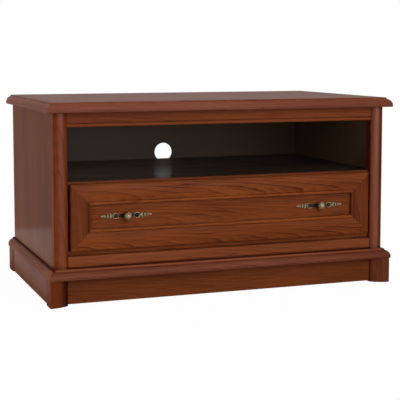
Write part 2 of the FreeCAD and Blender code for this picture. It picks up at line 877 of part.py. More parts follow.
ahead = -front_face + margin
through = cell("drawer_front_thickness") + margin * 2
for name, outer, way in (("top", front_high, -1), ("bottom", front_low, 1)):
    label = "drawer_front_%s_rail" % name
    section = member_section(False, outer, way)
    rail = padded(label, "YZ_Plane", section, -front_half, front_half * 2)
    ends = [mitre(sign * front_half, outer, -sign, way, frame) for side, sign in SIDES]
    keep(label, pocketed(rail, "XZ_Plane", ends, ahead, through))
for side, sign in SIDES:
    label = "drawer_front_%s_stile" % side
    section = member_section(True, sign * front_half, -sign)
    stile = padded(label, "XY_Plane", section, front_low, cell("drawer_front_height"))
    ends = []
    for z, way in ((front_low, 1), (front_high, -1)):
        near_x = sign * (front_half + margin)
        far_x = sign * (front_half - frame - margin)
        near_z = z - way * margin
        far_z = z + way * (frame + margin)
        ends.append([(near_x, near_z), (far_x, near_z), (far_x, far_z)])
    keep(label, pocketed(stile, "XZ_Plane", ends, ahead, through))

inset = frame - cell("rebate_width") + cell("rebate_clearance")
span = (-front_half + inset, front_half - inset)
blank = board("front_panel_blank", span, (panel_face, front_back), (front_low + inset, front_high - inset))
keep("drawer_front_panel", cut("drawer_front_panel", blank, nodes["handle_screws"]))

# Handles: a pierced plate with leaf tips, and a turned knob held by a screw from inside.
boss = cell("plate_boss_radius")
neck = cell("plate_neck_half")
loop = cell("plate_ring_radius")
joint = cell("plate_ring_joint")
offset = cell("plate_ring_offset")
boss_x = root(boss * boss - neck * neck)
loop_x = root(loop * loop - joint * joint)
leaf = cell("plate_leaf_radius")
leaf_end = cell("plate_leaf_end")
leaf_half = cell("plate_leaf_half")
tip = cell("plate_half_length")
upper = [
    (tip, as_size(0), cell("plate_tip_radius"), 1),
    (leaf_end, leaf_half, leaf, 1),
    (offset + loop_x, joint, loop, 1),
    (offset - loop_x, joint),
    (boss_x, neck, boss, 1),
    (-boss_x, neck),
    (loop_x - offset, joint, loop, 1),
    (-offset - loop_x, joint, leaf, 1),
    (-leaf_end, leaf_half, cell("plate_tip_radius"), 1),
]
knob_steps = [
    (KNOB_SIDES, cell("knob_base_radius"), as_size(0), cell("knob_base_height")),
    (KNOB_SIDES, cell("knob_stem_radius"), cell("knob_base_height"), cell("knob_neck_height")),
    (KNOB_SIDES, cell("knob_radius"), cell("knob_neck_height"), cell("knob_rim_height")),
    (KNOB_SIDES, cell("knob_crest_radius"), cell("knob_rim_height"), cell("knob_projection")),
]
for side, sign in SIDES:
    x = sign * handle_x
    outline = [(x + c[0], front_middle + c[1]) + c[2:] for c in upper]
    outline += [(x - c[0], front_middle - c[1]) + c[2:] for c in upper]
    holes = [(x + way * offset, front_middle, cell("plate_ring_hole")) for way in (-1, 1)]
    name = side + "_handle_plate"
    blank = padded(name + "_blank", "XZ_Plane", outline, -panel_face, cell("plate_thickness"), holes)
    keep(name, cut(name, blank, nodes["handle_screws"]))
    name = side + "_handle_knob"
    blank = stepped_bar(name + "_blank", (x, plate_face, front_middle), "-y", knob_steps)
    keep(name, cut(name, blank, nodes["handle_screws"]))

doc.recompute()
for thing in doc.Objects:
    if "Invalid" in thing.State or "Error" in thing.State:
        raise RuntimeError("%s did not build: %s" % (thing.Name, thing.State))
for label, thing in nodes.items():
    if thing.Shape.isNull() or not thing.Shape.isValid() or thing.Shape.Volume <= 0:
        raise RuntimeError("%s has no sound shape" % label)

os.makedirs("parts", exist_ok=True)
for label, thing in nodes.items():
    thing.Shape.exportStep("parts/%s.step" % label)
    print(label, len(thing.Shape.Solids), round(thing.Shape.Volume))
print(len(nodes), "nodes")
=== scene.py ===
import math

import bmesh
import bpy
from mathutils import Matrix, Vector


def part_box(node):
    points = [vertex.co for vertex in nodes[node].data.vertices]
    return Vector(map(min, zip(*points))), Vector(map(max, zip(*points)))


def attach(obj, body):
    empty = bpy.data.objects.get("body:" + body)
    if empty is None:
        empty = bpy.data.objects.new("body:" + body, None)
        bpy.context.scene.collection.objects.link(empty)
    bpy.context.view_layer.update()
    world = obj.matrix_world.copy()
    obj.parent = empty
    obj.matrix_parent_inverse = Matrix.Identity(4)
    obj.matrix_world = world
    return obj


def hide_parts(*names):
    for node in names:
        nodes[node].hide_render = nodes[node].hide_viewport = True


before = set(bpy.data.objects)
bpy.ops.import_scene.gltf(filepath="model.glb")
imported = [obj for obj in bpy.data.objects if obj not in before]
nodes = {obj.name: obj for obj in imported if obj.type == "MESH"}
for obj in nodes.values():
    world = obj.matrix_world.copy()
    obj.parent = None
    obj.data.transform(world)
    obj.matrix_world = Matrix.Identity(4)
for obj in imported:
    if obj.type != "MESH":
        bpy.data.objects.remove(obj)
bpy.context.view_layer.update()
scene = bpy.context.scene
mm = 0.001
quarter = math.pi / 2
sides = (("left", -1), ("right", 1))
print("frame loaded,", len(nodes), "nodes")

# Camera: seen from the left, a little above the top board
camera = {
    "lens": 99.05,
    "place": (-1.1412, -3.1706, 0.6906),
    "pitchDown": 5.23,
    "turnRight": 20.13,
    "shiftDown": 0.1194,
}
lensData = bpy.data.cameras.new("studioCamera")
lensData.lens = camera["lens"]
lensData.shift_y = -camera["shiftDown"]
studioCamera = bpy.data.objects.new("studioCamera", lensData)
studioCamera.location = camera["place"]
tilt = math.radians(90 - camera["pitchDown"])
studioCamera.rotation_euler = (tilt, 0, -math.radians(camera["turnRight"]))
scene.collection.objects.link(studioCamera)
scene.camera = studioCamera
scene.view_settings.view_transform = "Standard"
print("camera set")


# A socket that can be used in plain arithmetic; works for shader and geometry trees
class Wire:
    def __init__(self, socket):
        self.socket = socket

    def node(self, kind, settings, sockets, output=0):
        tree = self.socket.id_data
        made = tree.nodes.new(kind)
        for key, value in settings.items():
            if key == "stops":
                ramp = made.color_ramp.elements
                while len(ramp) < len(value):
                    ramp.new(0.5)
                for element, (place, colour) in zip(ramp, value):
                    element.position = place
                    element.color = colour
            else:
                setattr(made, key, value)
        for key, value in sockets.items():
            if isinstance(value, Wire):
                tree.links.new(value.socket, made.inputs[key])
            else:
                made.inputs[key].default_value = value
        return Wire(made.outputs[output])

    def other(self, output):
        return Wire(self.socket.node.outputs[output])

    def math(self, operation, first, second=0.0):
        return self.node("ShaderNodeMath", {"operation": operation}, {0: first, 1: second})

    def __add__(self, value):
        return self.math("ADD", self, value)

    def __radd__(self, value):
        return self.math("ADD", value, self)

    def __sub__(self, value):
        return self.math("SUBTRACT", self, value)

    def __rsub__(self, value):
        return self.math("SUBTRACT", value, self)

    def __mul__(self, value):
        return self.math("MULTIPLY", self, value)

    def __rmul__(self, value):
        return self.math("MULTIPLY", value, self)

    def __truediv__(self, value):
        return self.math("DIVIDE", self, value)

    def __pow__(self, value):
        return self.math("POWER", self, value)

    def __lt__(self, value):
        return self.math("LESS_THAN", self, value)

    def __gt__(self, value):
        return self.math("GREATER_THAN", self, value)

    def __abs__(self):
        return self.math("ABSOLUTE", self)

    def clamped(self):
        return self.node("ShaderNodeClamp", {}, {"Value": self})

    def scaled(self, x, y, z):
        return self.node("ShaderNodeVectorMath", {"operation": "MULTIPLY"}, {0: self, 1: (x, y, z)})

    def grained(self, scale):
        along, across = scale
        return self.scaled(along, across, across)

    def even(self, scale):
        return self.scaled(scale, scale, scale)

    def noise(self, detail=2.0, rough=0.5):
        inputs = {"Vector": self, "Scale": 1.0, "Detail": detail, "Roughness": rough}
        return self.node("ShaderNodeTexNoise", {}, inputs)

    def blend(self, first, second):
        inputs = {0: self, 6: first, 7: second}
        return self.node("ShaderNodeMix", {"data_type": "RGBA"}, inputs, 2)

    def between(self, low, high):
        inputs = {"Value": self, "From Min": low, "From Max": high}
        return self.node("ShaderNodeMapRange", {"interpolation_type": "SMOOTHSTEP"}, inputs)


def tone(red, green, blue):
    # a screen colour, 0 to 255, as the linear colour that Blender wants
    parts = [value / 255 for value in (red, green, blue)]
    linear = [part / 12.92 if part <= 0.04045 else ((part + 0.055) / 1.055) ** 2.4 for part in parts]
    return (*linear, 1.0)


def newFinish(name, constants):
    finish = bpy.data.materials.new(name)
    finish.use_nodes = True
    shader = finish.node_tree.nodes["Principled BSDF"]
    for socket, value in constants.items():
        shader.inputs[socket].default_value = value
    where = Wire(finish.node_tree.nodes.new("ShaderNodeTexCoord").outputs["Object"])
    return finish, shader, where


def feed(shader, links):
    for socket, wire in links.items():
        shader.id_data.links.new(wire.socket, shader.inputs[socket])


def bumped(height, strength, depth):
    return height.node("ShaderNodeBump", {}, {"Strength": strength, "Distance": depth, "Height": height})


def lettersOf(where):
    split = where.node("ShaderNodeSeparateXYZ", {}, {0: where})
    return {letter: split.other(index) for index, letter in enumerate("xyz")}


def grainSpace(where, axes, seed):
    letters = lettersOf(where)
    along, across, deep = (letters[letter] for letter in axes)
    return where.node("ShaderNodeCombineXYZ", {}, {0: along + seed, 1: across + seed * 0.37, 2: deep})


# Chestnut foil: nested growth lines, dark streaks, fine fibres and open pores under a satin lacquer
# Each scale is along the grain and across it
chestnut = {
    "pale": (134, 68, 29),
    "ground": (110, 52, 20),
    "streak": (56, 21, 6),
    "groundStop": 0.42,
    "flameHalf": 0.055,
    "flameCurve": 1500,
    "flameDrift": 0.034,
    "flameTilt": 8.0,
    "lineWeight": 1.05,
    "streakScale": (8, 190),
    "streakWeight": 0.5,
    "gatherScale": (3.1, 17),
    "fibreScale": (10, 290),
    "fibreWeight": 0.95,
    "poreScale": (60, 1500),
    "poreWeight": 0.12,
    "broadScale": (1.7, 12),
    "broadWeight": 0.8,
    "stainDepth": 0.24,
    "roughness": 0.42,
    "specular": 0.06,
    "shine": None,
}
# A shine is one band where the lacquer is rubbed up: core is the full part of its reach, and lean tips it
postShine = {"axis": "x", "place": 0.4805, "reach": 0.016, "core": 0.3, "weight": 0.55, "lean": 0.0}
rightPostShine = dict(postShine, place=0.473, reach=0.018, weight=0.8)
sideShine = {"axis": "z", "place": 0.07, "reach": 0.115, "core": 0.78, "weight": 0.26, "lean": 0.157}
# Wrapped mouldings are a little redder than the flat boards
moulding = dict(chestnut, pale=(134, 74, 50), ground=(110, 56, 36), streak=(62, 25, 13))
topLook = dict(moulding, specular=0.022)
topNoseLook = dict(moulding, pale=(130, 73, 52), ground=(107, 56, 39))
baseLook = dict(moulding, streak=(66, 19, 5), specular=0.006)
baseNoseLook = dict(moulding, pale=(124, 68, 46), ground=(101, 51, 33))
# The side mouldings are a paler copy with less lacquer: painted light standing in for the sheen on the sides
sideNoseLook = dict(moulding, pale=(146, 80, 52), ground=(121, 62, 37), specular=0.02)
# Posts shine more and carry a livelier figure
postLook = dict(chestnut, pale=(136, 64, 29), ground=(111, 48, 20), streak=(58, 20, 7), specular=0.008,
                roughness=0.34, streakScale=(4, 230), shine=postShine)
rightPostLook = dict(postLook, shine=rightPostShine)
# Rails and strips are between the boards and the mouldings
railLook = dict(chestnut, pale=(145, 78, 45), ground=(120, 60, 32), streak=(62, 26, 11))
stripLook = dict(chestnut, pale=(130, 68, 38), ground=(106, 52, 27), streak=(56, 22, 9))
# Sides carry a duller lacquer, and the plinth a quieter stain
sideLook = dict(chestnut, pale=(130, 65, 20), ground=(106, 49, 12), specular=0.013, shine=sideShine)
plinthLook = dict(chestnut, pale=(122, 62, 27), ground=(100, 47, 18))
# The plinth's end boards are a paler copy: painted light standing in for the sheen on the sides
plinthSideLook = dict(chestnut, pale=(142, 74, 34), ground=(117, 57, 24))
# The front feet, the frieze and the short sides of the drawer frame are darker; on the front feet and the
# frieze this is painted shade from the overhangs above them
friezeLook = dict(chestnut, pale=(120, 58, 27), ground=(98, 44, 17), streak=(52, 18, 6))
stileLook = dict(friezeLook, pale=(114, 55, 26), ground=(93, 41, 16))
footLook = dict(chestnut, pale=(112, 51, 22), ground=(92, 39, 13), streak=(48, 16, 4), specular=0.03)
# The right foot is a greyer copy: painted sheen on its rounded front
rightFootLook = dict(footLook, pale=(110, 55, 33), ground=(90, 43, 24))
rearFootLook = dict(footLook, pale=(138, 70, 32), ground=(114, 54, 22))
# Dark lining of the open bay
bayWall = {
    "pale": (140, 108, 82),
    "streak": (108, 82, 61),
}


def growthLines(space, look, along, aside):
    # nested curves that open along the board, broken up by a slow drift
    drift = space.grained((1.0, 5)).noise(1.0) - 0.5
    bent = aside + drift * look["flameDrift"]
    fold = bent.math("PINGPONG", bent, look["flameHalf"])
    jitter = space.grained((7, 70)).noise(2.0) - 0.5
    phase = fold * fold * look["flameCurve"] + along * look["flameTilt"] + jitter * 0.55
    saw = phase.math("FRACT", phase)
    triple = phase * 3.0
    thin = triple.math("FRACT", triple)
    patch = space.grained((2.4, 24)).noise(2.0).between(0.34, 0.66)
    line = saw ** 5 * (1 - saw ** 20) * (fold.between(0.002, 0.013) * 0.7 + 0.3)
    hair = thin ** 3 * (1 - thin ** 12)
    return (line * 0.9 + hair * 0.45) * (patch * 0.8 + 0.2)


def chestnutFinish(name, look, axes, middle, seed, bold, inside=None, tones=(), paintedFalloff=None):
    constants = {"Specular IOR Level": look["specular"], "Coat Roughness": look["roughness"]}
    finish, shader, where = newFinish(name, constants)
    letters = lettersOf(where)
    along, across, deep = (letters[letter] for letter in axes)
    space = grainSpace(where, axes, seed)
    lines = growthLines(space, look, along, across - middle + deep * 0.3)
    smear = space.grained(look["streakScale"]).noise(3.0, 0.62).between(0.5, 0.78)
    gather = space.grained(look["gatherScale"]).noise(1.0).between(0.36, 0.62)
    fibre = space.grained(look["fibreScale"]).noise(3.0, 0.6)
    pore = space.grained(look["poreScale"]).noise(1.0).between(0.6, 0.72)
    broad = space.grained(look["broadScale"]).noise(2.0) - 0.5
    figure = (lines * look["lineWeight"] + smear * gather * look["streakWeight"]) * bold
    shade = figure + (fibre - 0.5) * look["fibreWeight"] + broad * look["broadWeight"]
    shade = shade + pore * look["poreWeight"] + look["stainDepth"]
    # painted shade and painted highlight: each line darkens the colour where shade falls or pales it where
    # light catches
    for letter, place, reach, weight in tones:
        gap = abs(abs(letters[letter]) - place)
        shade = shade + (1 - gap.between(0.0003, reach)) * weight
    if paintedFalloff:
        # painted light: the colour darkens or pales slowly from one end to the other, as the light falls
        # across the piece
        letter, low, high, weight = paintedFalloff
        shade = shade + letters[letter].between(low, high) * weight
    stops = [
        (0.0, tone(*look["pale"])),
        (look["groundStop"], tone(*look["ground"])),
        (1.0, tone(*look["streak"])),
    ]
    colour = shade.node("ShaderNodeValToRGB", {"stops": stops}, {0: shade.clamped()})
    if inside:
        letter, limit = inside
        lining = abs(letters[letter]) < limit
        dark = fibre.blend(tone(*bayWall["pale"]), tone(*bayWall["streak"]))
        colour = lining.blend(colour, dark)
    feed(shader, {
        "Base Color": colour,
        "Roughness": look["roughness"] + (fibre - 0.5) * 0.12 + pore * 0.08,
        "Normal": bumped(fibre - pore * 0.6, 0.12, 0.0004),
    })
    shine = look["shine"]
    if shine:
        gap = abs(abs(letters[shine["axis"]]) + letters["y"] * shine["lean"] - shine["place"])
        band = 1 - gap.between(shine["reach"] * shine["core"], shine["reach"])
        feed(shader, {"Coat Weight": band * shine["weight"]})
    return finish


# Shelf of the bay: dark and smoother towards the front; painted light makes its colour paler towards the
# rear, painted shade darker towards the right
shelfBoard = {
    "pale": (138, 119, 106),
    "streak": (54, 43, 35),
    "roughness": 0.7,
    "specular": 0.016,
    "polishAndLightFrom": 0.28,
    "polishAndLightTo": -0.2,
    "paintedRearLightWeight": 0.66,
    "rubbedPolish": 0.65,
    "rightShadeFrom": -0.35,
    "rightShadeTo": 0.46,
    "rightShadeWeight": 0.45,
}


def shelfFinish():
    finish, shader, where = newFinish("darkShelf", {"Specular IOR Level": shelfBoard["specular"]})
    space = grainSpace(where, "xyz", 0.0)
    fibre = space.grained((9, 380)).noise(3.0, 0.6)
    broad = space.grained((2, 16)).noise(2.0)
    letters = lettersOf(where)
    # the front mask gives real polish in the roughness and painted light in the colour: the rear is painted
    # paler, the right darker
    front = 1 - letters["y"].between(shelfBoard["polishAndLightTo"], shelfBoard["polishAndLightFrom"])
    rubbed = front * shelfBoard["paintedRearLightWeight"]
    aside = letters["x"].between(shelfBoard["rightShadeFrom"], shelfBoard["rightShadeTo"])
    mix = (fibre * 0.7 + broad * 0.5 - 0.4 + rubbed + aside * shelfBoard["rightShadeWeight"]).clamped()
    feed(shader, {
        "Base Color": mix.blend(tone(*shelfBoard["pale"]), tone(*shelfBoard["streak"])),
        "Roughness": shelfBoard["roughness"] + (fibre - 0.5) * 0.1 - rubbed * shelfBoard["rubbedPolish"],
        "Normal": bumped(fibre, 0.1, 0.0003),
    })
    return finish


# Back board: dark lining towards the bay, bare brown hardboard behind; the lining carries painted light,
# paler towards the top and darker towards the right
backBoard = {
    "bare": (150, 112, 76),
    "bareFleck": (104, 72, 45),
    # lining colours low and high, left and right: lit and shaded copies of one lining, painted light
    "lowLeft": (92, 78, 69),
    "lowRight": (83, 64, 48),
    "highLeft": (130, 111, 99),
    "highRight": (108, 85, 66),
    "streak": (58, 45, 36),
    "rightShadeFrom": -0.3,
    "rightShadeTo": 0.25,
    "paintedLightFrom": 0.34,
    "paintedLightTo": 0.48,
    "rearFrom": 0.3008,
}


def backBoardFinish():
    finish, shader, where = newFinish("backBoard", {"Specular IOR Level": 0.1})
    letters = lettersOf(where)
    rear = letters["y"] > backBoard["rearFrom"]
    fleck = where.even(700).noise(3.0, 0.7)
    cloud = where.even(14).noise(2.0)
    rough = (fleck * 0.7 + cloud * 0.5 - 0.1).clamped()
    bare = rough.blend(tone(*backBoard["bare"]), tone(*backBoard["bareFleck"]))
    grain = where.grained((9, 380)).noise(3.0, 0.6)
    # painted light and shade: the lining is paler high up and darker towards the right
    aside = letters["x"].between(backBoard["rightShadeFrom"], backBoard["rightShadeTo"])
    paintedTopLight = letters["z"].between(backBoard["paintedLightFrom"], backBoard["paintedLightTo"])
    low = aside.blend(tone(*backBoard["lowLeft"]), tone(*backBoard["lowRight"]))
    high = aside.blend(tone(*backBoard["highLeft"]), tone(*backBoard["highRight"]))
    pale = paintedTopLight.blend(low, high)
    lining = (grain * 0.35 + aside * 0.08).blend(pale, tone(*backBoard["streak"]))
    feed(shader, {
        "Base Color": rear.blend(lining, bare),
        "Roughness": rear * 0.35 + 0.45,
        "Normal": bumped(fleck * rear + grain * 0.3, 0.15, 0.0003),
    })
    return finish


# Plain woods: brown boards of the drawer box, and raw pine for blocks, dowels and battens
drawerWood = {
    "pale": (104, 70, 48),
    "dark": (70, 44, 28),
    "fibreScale": (12, 320),
    "fibreRough": 0.6,
    "broadScale": (2.5, 24),
    "broadWeight": 0.5,
    "depth": -0.15,
    "seed": 0.4,
    "roughness": 0.5,
    "roughSpread": 0.15,
    "specular": 0.3,
    "bump": (0.1, 0.0003),
}
rawPine = {
    "pale": (205, 170, 122),
    "dark": (158, 118, 74),
    "fibreScale": (14, 260),
    "fibreRough": 0.65,
    "broadScale": (3, 40),
    "broadWeight": 0.6,
    "depth": -0.2,
    "seed": 0.9,
    "roughness": 0.65,
    "roughSpread": 0.2,
    "specular": 0.2,
    "bump": (0.2, 0.0005),
}


def plainWoodFinish(name, wood, axes):
    finish, shader, where = newFinish(name, {"Specular IOR Level": wood["specular"]})
    space = grainSpace(where, axes, wood["seed"])
    fibre = space.grained(wood["fibreScale"]).noise(3.0, wood["fibreRough"])
    broad = space.grained(wood["broadScale"]).noise(2.0)
    mix = (fibre * 0.8 + broad * wood["broadWeight"] + wood["depth"]).clamped()
    feed(shader, {
        "Base Color": mix.blend(tone(*wood["pale"]), tone(*wood["dark"])),
        "Roughness": wood["roughness"] + fibre * wood["roughSpread"],
        "Normal": bumped(fibre, *wood["bump"]),
    })
    return finish


# Metal and plastic: brown enamelled runners, nylon rollers, zinc fittings and worn brass handles
brownEnamel = {"coat": (58, 44, 36), "rubbed": (84, 70, 60), "roughness": 0.36}
brownNylon = {"pale": (70, 54, 44), "dark": (50, 38, 31), "roughness": 0.42}
zincSteel = {"pale": (196, 196, 190), "dark": (150, 150, 146), "roughness": 0.3}
antiqueBrass = {"crest": (162, 146, 112), "hollow": (21, 13, 7), "roughness": 0.6, "mottle": 1.7}


def enamelFinish():
    finish, shader, where = newFinish("brownEnamel", {"Specular IOR Level": 0.4})
    peel = where.even(420).noise(2.0)
    rub = where.scaled(30, 9, 300).noise(3.0, 0.7).between(0.62, 0.74)
    feed(shader, {
        "Base Color": rub.blend(tone(*brownEnamel["coat"]), tone(*brownEnamel["rubbed"])),
        "Roughness": brownEnamel["roughness"] + rub * 0.2,
        "Normal": bumped(peel, 0.08, 0.0002),
    })
    return finish


def nylonFinish():
    finish, shader, where = newFinish("brownNylon", {"Specular IOR Level": 0.4})
    scuff = where.even(260).noise(3.0, 0.6)
    feed(shader, {
        "Base Color": scuff.blend(tone(*brownNylon["pale"]), tone(*brownNylon["dark"])),
        "Roughness": brownNylon["roughness"] + scuff * 0.15,
    })
    return finish


def zincFinish():
    finish, shader, where = newFinish("zincSteel", {"Metallic": 1.0})
    spangle = where.even(600).noise(3.0, 0.6)
    feed(shader, {
        "Base Color": spangle.blend(tone(*zincSteel["pale"]), tone(*zincSteel["dark"])),
        "Roughness": zincSteel["roughness"] + spangle * 0.25,
        "Normal": bumped(spangle, 0.1, 0.0002),
    })
    return finish


def brassFinish():
    # worn pale crests over dark patina in the hollows; the piece stores how high each point stands
    finish, shader, where = newFinish("antiqueBrass", {"Specular IOR Level": 0.2})
    crest = where.node("ShaderNodeAttribute", {"attribute_name": "crest"}, {}, 2)
    mottle = where.even(290).noise(3.0, 0.65)
    wear = (crest + (mottle - 0.5) * antiqueBrass["mottle"]).between(0.34, 0.92)
    feed(shader, {
        "Base Color": wear.blend(tone(*antiqueBrass["hollow"]), tone(*antiqueBrass["crest"])),
        "Metallic": 0.3 + wear * 0.3,
        "Roughness": antiqueBrass["roughness"] - wear * 0.22,
        "Normal": bumped(mottle, 0.25, 0.0004),
    })
    return finish


# Lines along an axis, mostly painted shade and painted highlight: a positive weight darkens the colour where
# shade falls, a negative one pales it where light catches; axis, distance from the middle, reach, weight
# top nose: painted shade towards its lower edge, where it turns under, and painted light on the step at its
# top
topNoseTones = (("z", 0.527, 0.014, 0.2), ("z", 0.5515, 0.004, -0.25))
# base board: painted shadow in front of the lower rail and in its side quirks, painted highlight on its
# rounded front edge
baseTones = (("y", 0.276, 0.006, 1.0), ("x", 0.503, 0.0065, 1.1), ("y", 0.2885, 0.0035, -0.35))
# base nose: painted shade towards its lower edge and a thin painted shadow line under its quirk
baseNoseTones = (("z", 0.073, 0.012, 0.15), ("z", 0.0943, 0.0017, 0.42))
# frieze: painted shade in the groove, painted highlight on the bead, and painted light under the top's nose
# to soften its shadow
friezeTones = (("z", 0.4975, 0.0025, 0.35), ("z", 0.4915, 0.005, -0.42), ("z", 0.524, 0.007, -0.18))
# drawer top rail: a painted shade line at the quirk, a painted highlight on the bead, and paler in the middle
topRailTones = (("z", 0.2825, 0.002, 0.12), ("z", 0.277, 0.005, -0.2), ("x", 0.0, 0.15, -0.16))
# drawer bottom rail: a painted shade line at the quirk and a painted highlight on the bead
bottomRailTones = (("z", 0.197, 0.002, 0.15), ("z", 0.202, 0.005, -0.4))
# stiles: painted shade along the quirk and crown beside their inner edges
stileTones = (("x", 0.406, 0.002, 0.2), ("x", 0.41, 0.016, 0.14))
# panel: painted shade along its edges, where the frame overhangs it
panelTones = (("z", 0.2735, 0.004, 0.1), ("z", 0.206, 0.003, 0.35), ("x", 0.397, 0.003, 0.35))
# posts: painted shade on the inner flanks and at the foot
postTones = (("x", 0.4605, 0.003, 0.2), ("x", 0.463, 0.011, 0.12), ("z", 0.101, 0.016, 0.35))
# right post: a darker streak, and painted shade on the outer edge as well
rightPostTones = postTones + (("x", 0.489, 0.005, 0.35), ("x", 0.4995, 0.006, 0.25))
# front feet, the right one weaker: painted shade towards the inner side, which turns away from the light, and
# paler along the outer corner
footTones = (("x", 0.456, 0.036, 1.3), ("x", 0.5172, 0.0018, -0.8))
rightFootTones = (("x", 0.456, 0.02, 0.35), ("x", 0.5172, 0.0018, -0.8))
# lower rail: painted shade over its rounded underside and on its top rounding
lowerRailTones = (("z", 0.101, 0.012, 0.25), ("z", 0.1335, 0.003, 0.18))
# bottom board: a painted shadow line where it meets the lower rail
bottomShadowLine = (("z", 0.1352, 0.002, 0.6),)
# sides: painted light, paler towards the bottom as if lit from the floor
sideLowerPaintedLight = (("z", 0.1, 0.085, -0.2),)

# Faces towards the bay carry its dark lining: axis, and how far from the middle the lining ends
liningEdge = 0.5 * mm
topInside = ("z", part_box("top_panel")[0].z + liningEdge)
sideInside = ("x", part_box("right_side_panel")[0].x + liningEdge)

# Chestnut boards: axes run along, across and through the grain, middle is where the figure folds,
# bold is its strength, and the slow change (axis, start, end, weight) is painted light, darkening or paling
# the colour towards one end
boards = {
    "top_panel": dict(
        name="topBoard", look=topLook, axes="xyz", middle=0.05, seed=0.3, bold=0.45, inside=topInside),
    "top_front_moulding": dict(
        name="topNose", look=topNoseLook, axes="xzy", middle=0.54, seed=1.1, bold=0.35, tones=topNoseTones),
    "top_left_moulding": dict(
        name="topLeftNose", look=sideNoseLook, axes="yzx", middle=0.54, seed=2.3, bold=0.2),
    "top_right_moulding": dict(
        name="topRightNose", look=sideNoseLook, axes="yzx", middle=0.54, seed=3.1, bold=0.2),
    "base_panel": dict(
        name="baseBoard", look=baseLook, axes="xyz", middle=0.05, seed=5.3, bold=0.45,
        tones=baseTones, paintedFalloff=("x", 0.05, 0.5, 0.3)),
    "base_front_moulding": dict(
        name="baseNose", look=baseNoseLook, axes="xzy", middle=0.085, seed=4.4, bold=0.45,
        tones=baseNoseTones, paintedFalloff=("x", 0.15, 0.5, 0.22)),
    "base_left_moulding": dict(
        name="baseLeftNose", look=sideNoseLook, axes="yzx", middle=0.085, seed=5.9, bold=0.25),
    "base_right_moulding": dict(
        name="baseRightNose", look=sideNoseLook, axes="yzx", middle=0.085, seed=6.1, bold=0.25),
    "left_side_panel": dict(
        name="leftSide", look=sideLook, axes="zyx", middle=0.02, seed=7.7, bold=0.3,
        inside=sideInside, tones=sideLowerPaintedLight),
    "right_side_panel": dict(
        name="rightSide", look=sideLook, axes="zyx", middle=0.02, seed=8.2, bold=0.3,
        inside=sideInside, tones=sideLowerPaintedLight),
    "left_corner_post": dict(
        name="leftPost", look=postLook, axes="zxy", middle=-0.47, seed=9.4, bold=0.75, tones=postTones),
    "right_corner_post": dict(
        name="rightPost", look=rightPostLook, axes="zxy", middle=0.47, seed=10.6, bold=0.75,
        tones=rightPostTones),
    "frieze_rail": dict(
        name="frieze", look=friezeLook, axes="xzy", middle=0.51, seed=11.2, bold=0.4,
        tones=friezeTones, paintedFalloff=("x", -0.3, 0.5, -0.13)),
    "lower_rail": dict(
        name="lowerRail", look=railLook, axes="xzy", middle=0.115, seed=12.8, bold=0.45,
        tones=lowerRailTones, paintedFalloff=("x", -0.2, 0.5, 0.2)),
    "drawer_front_top_rail": dict(
        name="frontTopRail", look=chestnut, axes="xzy", middle=0.306, seed=13.1, bold=1.0,
        tones=topRailTones, paintedFalloff=("x", 0.22, 0.44, 0.14)),
    "drawer_front_bottom_rail": dict(
        name="frontBottomRail", look=chestnut, axes="xzy", middle=0.174, seed=14.6, bold=0.85,
        tones=bottomRailTones),
    "drawer_front_left_stile": dict(
        name="frontLeftStile", look=stileLook, axes="zxy", middle=-0.428, seed=15.2, bold=0.7,
        tones=stileTones),
    "drawer_front_right_stile": dict(
        name="frontRightStile", look=stileLook, axes="zxy", middle=0.428, seed=16.9, bold=0.55,
        tones=stileTones),
    "drawer_front_panel": dict(
        name="frontPanel", look=chestnut, axes="xzy", middle=0.236, seed=17.3, bold=0.8,
        tones=panelTones, paintedFalloff=("x", 0.12, 0.42, 0.2)),
    "plinth_front_board": dict(
        name="plinthFront", look=plinthLook, axes="xzy", middle=0.04, seed=18.4, bold=0.45,
        paintedFalloff=("x", -0.4, 0.5, 0.16)),
    "plinth_rear_board": dict(
        name="plinthRear", look=plinthLook, axes="xzy", middle=0.04, seed=19.8, bold=0.45),
    "plinth_left_board": dict(
        name="plinthLeft", look=plinthSideLook, axes="yzx", middle=0.04, seed=20.5, bold=0.25),
    "plinth_right_board": dict(
        name="plinthRight", look=plinthSideLook, axes="yzx", middle=0.04, seed=21.7, bold=0.25),
    "front_left_foot": dict(
        name="frontLeftFoot", look=footLook, axes="zxy", middle=-0.49, seed=22.6, bold=0.6, tones=footTones),
    "front_right_foot": dict(
        name="frontRightFoot", look=rightFootLook, axes="zxy", middle=0.49, seed=23.1, bold=0.6,
        tones=rightFootTones),
    "rear_left_foot": dict(
        name="rearLeftFoot", look=rearFootLook, axes="zyx", middle=0.27, seed=24.2, bold=0.6),
    "rear_right_foot": dict(
        name="rearRightFoot", look=rearFootLook, axes="zyx", middle=0.27, seed=25.4, bold=0.6),
    "shelf_edge_strip": dict(
        name="shelfEdge", look=stripLook, axes="xzy", middle=0.327, seed=26.3, bold=0.6,
        paintedFalloff=("x", -0.1, 0.45, 0.28)),
    "bottom_board": dict(
        name="bottomBoard", look=chestnut, axes="xzy", middle=0.138, seed=27.7, bold=0.6, tones=bottomShadowLine),
}

